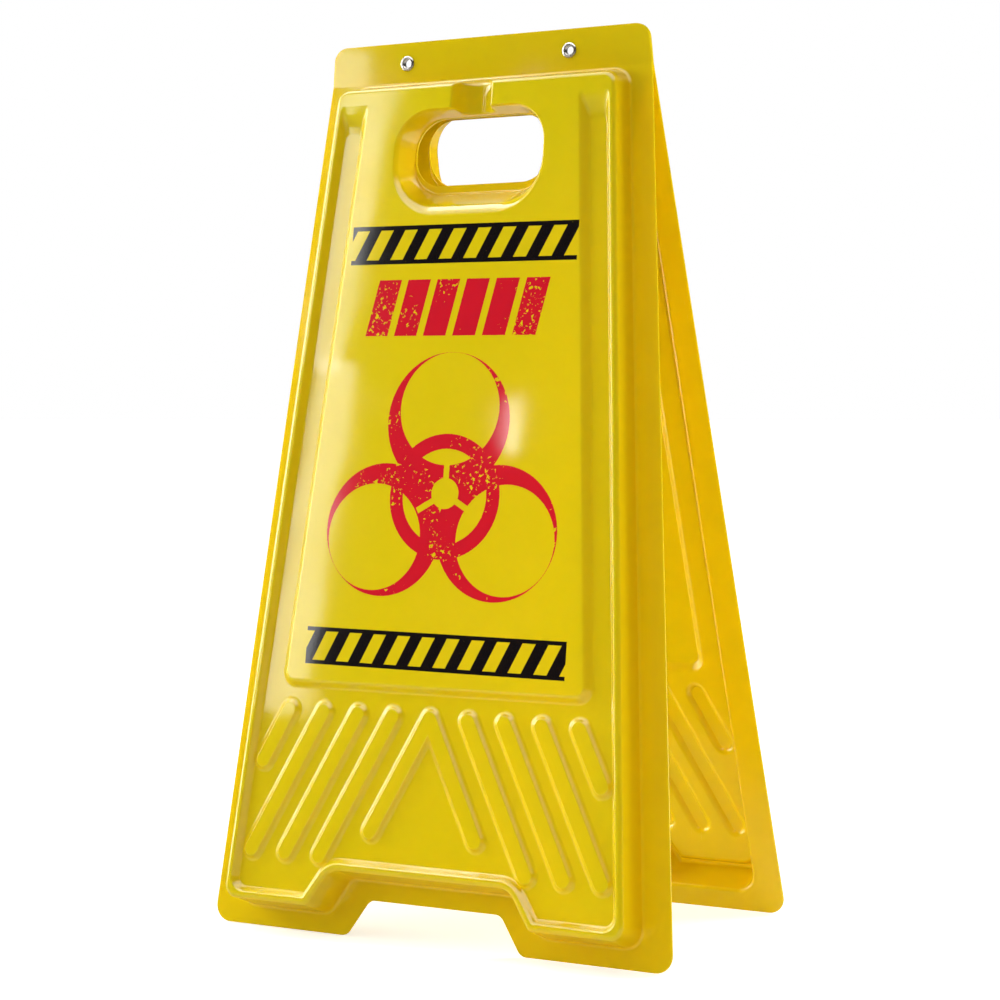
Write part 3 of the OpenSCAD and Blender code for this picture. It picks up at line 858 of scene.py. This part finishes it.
def blocks_distance(t, u, s):
    """Distance outside a row of plain slanted blocks."""
    down = t.sub(s, BLOCKS["level"])
    along = t.add(u, t.mul(down, BLOCKS["lean"] / BLOCKS["height"]))
    half = BLOCKS["pitch"] * BLOCKS["count"] / 2
    cell = t.maths("FLOORED_MODULO", t.add(along, half), BLOCKS["pitch"])
    block = t.sub(t.size(t.sub(cell, BLOCKS["pitch"] / 2)), BLOCKS["width"] / 2)
    block = t.high(block, t.sub(t.size(down), BLOCKS["height"] / 2))
    return t.high(block, t.sub(t.size(along), half))


def sheet_place(t):
    return t.node("ShaderNodeUVMap", uv_map="sheet").outputs[0]


def print_place(t, place):
    """Distances across and down the print from the fold, in millimetres."""
    split = t.node("ShaderNodeSeparateXYZ")
    t.link(place, split.inputs[0])
    across = t.mul(t.sub(split.outputs[0], MAP_U), 1 / MM)
    down = t.mul(t.sub(MAP_S, split.outputs[1]), 1 / MM)
    return across, t.sub(down, t.mul(across, PRINT_TURN))


def new_material(name):
    material = bpy.data.materials.new(name)
    material.use_nodes = True
    t = Tree(material.node_tree)
    shader = material.node_tree.nodes["Principled BSDF"]
    return material, t, shader


def bump(t, height, distance, shader):
    made = t.node("ShaderNodeBump")
    made.inputs["Distance"].default_value = distance
    t.link(height, made.inputs["Height"])
    t.link(made.outputs[0], shader.inputs["Normal"])


def plastic_base(t, place, colours, plastic, face, roughness):
    """The formed plastic group in one face colour, with the sheet's deeper colours and its painted shade."""
    tone = t.node("ShaderNodeAttribute", attribute_name="tone").outputs["Fac"]
    return t.group(plastic, Place=place, Colour=(*face, 1), Deep_colour=(*colours.sheet_deep, 1),
                   Wall_colour=(*colours.sheet_painted_shade, 1), Tone=tone, Roughness=roughness, Scuffs=0.3)


def finish_plastic(t, base, colour, shader):
    """Links a sheet's colour, gloss and relief, and lets light into its surface."""
    t.link(colour, shader.inputs["Base Color"])
    t.link(base["Roughness"], shader.inputs["Roughness"])
    shader.inputs["IOR"].default_value = 1.5
    shader.subsurface_method = "BURLEY"
    shader.inputs["Subsurface Weight"].default_value = 0.5
    shader.inputs["Subsurface Radius"].default_value = (1.0, 0.6, 0.05)
    shader.inputs["Subsurface Scale"].default_value = 0.005
    bump(t, base["Height"], 0.0003, shader)


def printed_plastic(colours, plastic, ink, band):
    material, t, shader = new_material("printed_yellow_plastic")
    place = sheet_place(t)
    across, down = print_place(t, place)
    base = plastic_base(t, place, colours, plastic, colours.sheet, 0.045)
    upper, lower = [t.group(band, Across=across, Down=down, **sizes)["Distance"] for sizes in BANDS]
    black = t.group(ink, Place=place, Distance=t.low(upper, lower), Chips=0.1, Ragged=0.15, Soft=0.2)["Mask"]
    red_edge = t.low(figure_distance(t, across, down), blocks_distance(t, across, down))
    red = t.group(ink, Place=place, Distance=red_edge, Chips=0.9, Ragged=0.5, Soft=0.2)["Mask"]
    colour = t.mix(red, base["Colour"], (*colours.red_ink, 1))
    colour = t.mix(black, colour, (*colours.black_ink, 1))
    finish_plastic(t, base, colour, shader)
    return material


def plain_plastic(colours, plastic):
    material, t, shader = new_material("plain_yellow_plastic")
    # The inner face's colour holds a painted glow of light through the sheet
    base = plastic_base(t, sheet_place(t), colours, plastic, colours.sheet_back_painted_glow, 0.2)
    finish_plastic(t, base, base["Colour"], shader)
    return material


def nickel(colours):
    material, t, shader = new_material("nickel_plate")
    place = t.node("ShaderNodeTexCoord").outputs["Object"]
    tarnish = t.ramp(t.noise(place, 700.0, 3.0, 0.6), 0.35, 0.7)
    dull = tuple(c * 0.72 for c in colours.eyelet)
    t.link(t.mix(tarnish, (*colours.eyelet, 1), (*dull, 1)), shader.inputs["Base Color"])
    shader.inputs["Metallic"].default_value = 1.0
    t.link(t.add(0.2, t.mul(tarnish, 0.16)), shader.inputs["Roughness"])
    bump(t, t.noise(place, 2500.0, 2.0, 0.5), 0.00002, shader)
    return material


# Properties

def length_property(name, description, default):
    return bpy.props.FloatProperty(
        name=name, description=description, default=default, min=0.0, subtype="DISTANCE", unit="LENGTH",
        precision=4)


def colour_property(name, description, default):
    return bpy.props.FloatVectorProperty(
        name=name, description=description, default=default, size=3, min=0.0, max=1.0, subtype="COLOR")


class SignSizes(bpy.types.PropertyGroup):
    fold_width: length_property("Fold width", "Width of a sheet at the fold line", 0.262)
    base_width: length_property("Base width", "Width of a sheet across its feet", 0.370)
    panel_length: length_property("Panel length", "Length of a sheet from the fold line to its feet", 0.618)
    strip_height: length_property("Strip height", "Height of the flat strip above the fold line", 0.0285)
    thickness: length_property("Thickness", "Thickness of the plastic", 0.0012)
    sheet_gap: length_property("Sheet gap", "Gap between the two sheets where they lie together", 0.0003)
    lean: bpy.props.FloatProperty(
        name="Lean", description="Lean of each sheet from upright", default=math.radians(9), subtype="ANGLE")
    flange_fold: length_property("Flange at fold", "Flange beside the pan at the fold line", 0.0175)
    flange_foot: length_property("Flange at feet", "Flange beside the pan at the feet", 0.0217)
    pan_height_fold: length_property("Pan height at fold", "Height of the pan at the fold line", 0.0205)
    pan_height_foot: length_property("Pan height at feet", "Height of the pan at the feet", 0.0281)
    trough_depth: length_property("Trough depth", "Depth of the trough below the rim", 0.0052)
    rib_height: length_property("Rib height", "Height of a rib above the trough", 0.0028)
    eyelet_pitch: length_property("Eyelet pitch", "Distance between the eyelets", 0.133)
    eyelet_rise: length_property("Eyelet rise", "Height of the eyelets above the fold line", 0.0135)
    eyelet_bore: length_property("Eyelet bore", "Bore of an eyelet", 0.006)
    eyelet_width: length_property("Eyelet width", "Width across an eyelet's flange", 0.0112)
    eyelet_dome: length_property("Eyelet dome", "Height of an eyelet's flange", 0.001)


class SignColours(bpy.types.PropertyGroup):
    sheet: colour_property("Sheet", "Yellow of the printed face", (0.78, 0.635, 0.008))
    sheet_deep: colour_property("Sheet, deep", "Deeper yellow where the sheet varies", (0.75, 0.63, 0.004))
    # Painted glow: the inner face is brighter and more orange than the printed face, standing in for light
    # through the sheet
    sheet_back_painted_glow: colour_property("Sheet, back", "Yellow of the inner face", (0.86, 0.67, 0.003))
    # Painted shade: deeper orange painted onto walls and the flange where shade falls
    sheet_painted_shade: colour_property("Sheet, walls", "Deep yellow of shaded walls", (0.80, 0.50, 0.002))
    red_ink: colour_property("Red ink", "Red of the printed figure", (0.66, 0.010, 0.028))
    black_ink: colour_property("Black ink", "Black of the printed bands", (0.006, 0.004, 0.005))
    eyelet: colour_property("Eyelets", "Nickel of the eyelets", (0.50, 0.48, 0.45))


class SignStudio(bpy.types.PropertyGroup):
    camera_place: bpy.props.FloatVectorProperty(
        name="Camera", description="Place of the camera", default=(0.854617, -1.525770, 0.409931),
        size=3, subtype="TRANSLATION", unit="LENGTH")
    camera_turn: bpy.props.FloatVectorProperty(
        name="Camera angles", description="Turn, pitch and roll of the camera", size=3, subtype="EULER",
        default=(0.5081, -0.0594, -0.0141), precision=4)
    camera_lens: bpy.props.FloatProperty(
        name="Lens", description="Focal length of the camera", default=86.983, unit="CAMERA")
    key_power: bpy.props.FloatProperty(
        name="Key light", description="Power of the key light", default=13.0, unit="POWER")
    fill_power: bpy.props.FloatProperty(
        name="Fill light", description="Power of the fill light", default=4.5, unit="POWER")
    room_light: bpy.props.FloatProperty(name="Room light", description="Light from all round", default=0.32)


# Operators

class SIGN_OT_sheets(bpy.types.Operator):
    """Build the two formed sheets and print them"""
    bl_idname = "sign.sheets"
    bl_label = "Formed Sheets"

    def execute(self, context):
        colours = context.scene.sign_colours
        plan = SheetPlan(context.scene.sign_sizes)
        plan.add_outline()
        plan.add_pan()
        plan.add_trough()
        plan.add_ribs()
        plan.add_recess()
        plan.add_groove_lines()
        plastic, ink, band = plastic_group(), ink_group(), band_group()
        materials = [printed_plastic(colours, plastic, ink, band), plain_plastic(colours, plastic)]
        for name, front in (("front", True), ("rear", False)):
            mesh = sheet_mesh(name + "_sheet", plan, front)
            for material in materials:
                mesh.materials.append(material)
            piece = bpy.data.objects.new(name + "_sheet", mesh)
            context.scene.collection.objects.link(piece)
            # Scaled from millimetres
            mesh.transform(Matrix.Scale(MM, 4))
            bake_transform(piece)
            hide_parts(name + "_panel", name + "_hinge_strip")
        return {"FINISHED"}


class SIGN_OT_eyelets(bpy.types.Operator):
    """Build the two nickel plated eyelets"""
    bl_idname = "sign.eyelets"
    bl_label = "Eyelets"

    def execute(self, context):
        sizes = context.scene.sign_sizes
        plan = SheetPlan(sizes)
        metal = nickel(context.scene.sign_colours)
        for name, side in (("left", -1), ("right", 1)):
            mesh = eyelet_mesh("rolled_eyelet_" + name, sizes, plan, side)
            mesh.materials.append(metal)
            piece = new_piece("rolled_eyelet_" + name, mesh, "hinge_strip")
            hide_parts("eyelet_" + name)
        return {"FINISHED"}


# What the lamps shine at, in metres
LAMP_TARGET = (0, -0.05, 0.33)

# Lamps: name, place, size, power, and whether glossy surfaces mirror it. None is set in the panel
LAMPS = [
    ("key", (-1.85, -1.1, 0.9), (0.75, 0.95), None, True),
    ("low_strip", (-1.04, -1.44, 0.60), (0.07, 0.50), 0.65, True),
    ("high_strip", (-1.07, -1.44, 1.10), (0.08, 0.50), 0.75, True),
    ("side", (-1.5, -0.3, 0.55), (0.3, 1.3), 13.0, True),
    ("overhead", (-0.9, -0.15, 1.7), (0.6, 0.6), 6.0, True),
    ("top", (0.0, -0.9, 2.1), (1.4, 0.8), 3.5, True),
    ("window", (-0.746, -1.462, 0.765), (0.02, 0.075), 0.05, True),
    ("back", (1.4, 1.3, 1.0), (1.0, 1.0), 36.0, False),
    ("fill", (2.0, -0.7, 0.8), (1.6, 1.6), None, False)]

# The floor in metres, and its glow: how far out it changes, and its strength before and after that
FLOOR = {"half": 12.0, "drop": 0.0005}
FLOOR_GLOW = (0.35, 1.1, 0.58, 0.85)

# Pale parts of the room, as ranges of direction, and how bright glossy surfaces mirror each part
LEFT_WALL = (-0.92, -0.62)
CEILING = (0.5, 0.8)
MIRRORED = {"room": 0.06, "left": 2.2, "above": 4.0}
ROOM_COLOUR = (1, 0.95, 0.86, 1)
WHITE = (1, 1, 1, 1)


def add_lamp(name, place, size, power, mirrored):
    lamp = bpy.data.lights.new(name, "AREA")
    lamp.shape = "RECTANGLE"
    lamp.size, lamp.size_y = size
    lamp.energy = power
    stand = bpy.data.objects.new(name, lamp)
    stand.location = place
    stand.visible_glossy = mirrored
    stand.rotation_euler = (Vector(LAMP_TARGET) - Vector(place)).to_track_quat("-Z", "Y").to_euler()
    bpy.context.scene.collection.objects.link(stand)


class SIGN_OT_studio(bpy.types.Operator):
    """Add the floor, the lamps, the background and the camera"""
    bl_idname = "sign.studio"
    bl_label = "Studio"

    def execute(self, context):
        scene = context.scene
        studio = scene.sign_studio
        self.add_floor()
        self.add_world(studio)
        for name, place, size, power, mirrored in LAMPS:
            add_lamp(name, place, size, power or getattr(studio, name + "_power"), mirrored)
        self.add_camera(studio)
        scene.view_settings.view_transform = "Standard"
        return {"FINISHED"}

    def add_floor(self):
        mesh = bpy.data.meshes.new("floor")
        r = FLOOR["half"]
        mesh.from_pydata([(-r, -r, 0), (r, -r, 0), (r, r, 0), (-r, r, 0)], [], [(0, 1, 2, 3)])
        floor = bpy.data.objects.new("floor", mesh)
        floor.location = (0, 0, -FLOOR["drop"])
        bpy.context.scene.collection.objects.link(floor)
        material, t, shader = new_material("pale_floor")
        shader.inputs["Base Color"].default_value = (0.8, 0.8, 0.8, 1)
        shader.inputs["Roughness"].default_value = 0.9
        shader.inputs["Specular IOR Level"].default_value = 0.1
        seen = t.node("ShaderNodeLightPath").outputs["Is Camera Ray"]
        shader.inputs["Emission Color"].default_value = WHITE
        place = t.node("ShaderNodeSeparateXYZ")
        t.link(t.node("ShaderNodeTexCoord").outputs["Object"], place.inputs[0])
        glow = t.ramp(t.length(place.outputs[0], place.outputs[1]), *FLOOR_GLOW)
        t.link(t.mul(seen, glow), shader.inputs["Emission Strength"])
        mesh.materials.append(material)

    def add_world(self, studio):
        world = bpy.data.worlds.new("room")
        world.use_nodes = True
        bpy.context.scene.world = world
        t = Tree(world.node_tree)
        shade = world.node_tree.nodes["Background"]
        path = t.node("ShaderNodeLightPath").outputs
        seen = t.high(path["Is Camera Ray"], path["Is Transmission Ray"])
        gloss = path["Is Glossy Ray"]
        way = t.node("ShaderNodeSeparateXYZ")
        t.link(t.node("ShaderNodeTexCoord").outputs["Generated"], way.inputs[0])
        left = t.ramp(way.outputs[0], *LEFT_WALL, 1.0, 0.0)
        above = t.ramp(way.outputs[2], *CEILING)
        pale = t.high(left, above)
        plain = t.high(seen, t.mul(gloss, pale))
        t.link(t.mix(plain, ROOM_COLOUR, WHITE), shade.inputs["Color"])
        room = t.mul(t.add(0.95, t.mul(pale, 0.1)), studio.room_light)
        shiny = t.add(t.mul(left, MIRRORED["left"]), t.mul(above, MIRRORED["above"]))
        shiny = t.add(MIRRORED["room"], shiny)
        strength = t.add(t.mul(room, t.sub(1.0, gloss)), t.mul(shiny, gloss))
        t.link(t.high(strength, seen), shade.inputs["Strength"])

    def add_camera(self, studio):
        camera = bpy.data.cameras.new("camera")
        camera.lens = studio.camera_lens
        camera.sensor_width = 36.0
        camera.clip_start = 0.05
        eye = bpy.data.objects.new("camera", camera)
        yaw, pitch, roll = studio.camera_turn
        ahead = Vector((-math.sin(yaw) * math.cos(pitch), math.cos(yaw) * math.cos(pitch), math.sin(pitch)))
        level = Vector((math.cos(yaw), math.sin(yaw), 0))
        upright = level.cross(ahead)
        right = level * math.cos(roll) + upright * math.sin(roll)
        up = upright * math.cos(roll) - level * math.sin(roll)
        turn = Matrix((right, up, -ahead)).transposed()
        eye.matrix_world = Matrix.Translation(studio.camera_place) @ turn.to_4x4()
        bpy.context.scene.collection.objects.link(eye)
        bpy.context.scene.camera = eye


class SIGN_PT_panel(bpy.types.Panel):
    """Sizes, colours and steps of the floor sign"""
    bl_label = "Floor Sign"
    bl_idname = "SIGN_PT_panel"
    bl_space_type = "VIEW_3D"
    bl_region_type = "UI"
    bl_category = "Floor Sign"

    def draw(self, context):
        layout = self.layout
        for operator in (SIGN_OT_sheets, SIGN_OT_eyelets, SIGN_OT_studio):
            layout.operator(operator.bl_idname)
        for group in (context.scene.sign_sizes, context.scene.sign_colours, context.scene.sign_studio):
            box = layout.box()
            for key in group.bl_rna.properties.keys():
                if key not in ("rna_type", "name"):
                    box.prop(group, key)


CLASSES = (SignSizes, SignColours, SignStudio, SIGN_OT_sheets, SIGN_OT_eyelets, SIGN_OT_studio, SIGN_PT_panel)


def register():
    for cls in CLASSES:
        bpy.utils.register_class(cls)
    bpy.types.Scene.sign_sizes = bpy.props.PointerProperty(type=SignSizes)
    bpy.types.Scene.sign_colours = bpy.props.PointerProperty(type=SignColours)
    bpy.types.Scene.sign_studio = bpy.props.PointerProperty(type=SignStudio)


def unregister():
    del bpy.types.Scene.sign_studio
    del bpy.types.Scene.sign_colours
    del bpy.types.Scene.sign_sizes
    for cls in reversed(CLASSES):
        bpy.utils.unregister_class(cls)


def main():
    register()
    bpy.ops.sign.sheets()
    bpy.ops.sign.eyelets()
    bpy.ops.sign.studio()


if __name__ == "__main__":
    main()
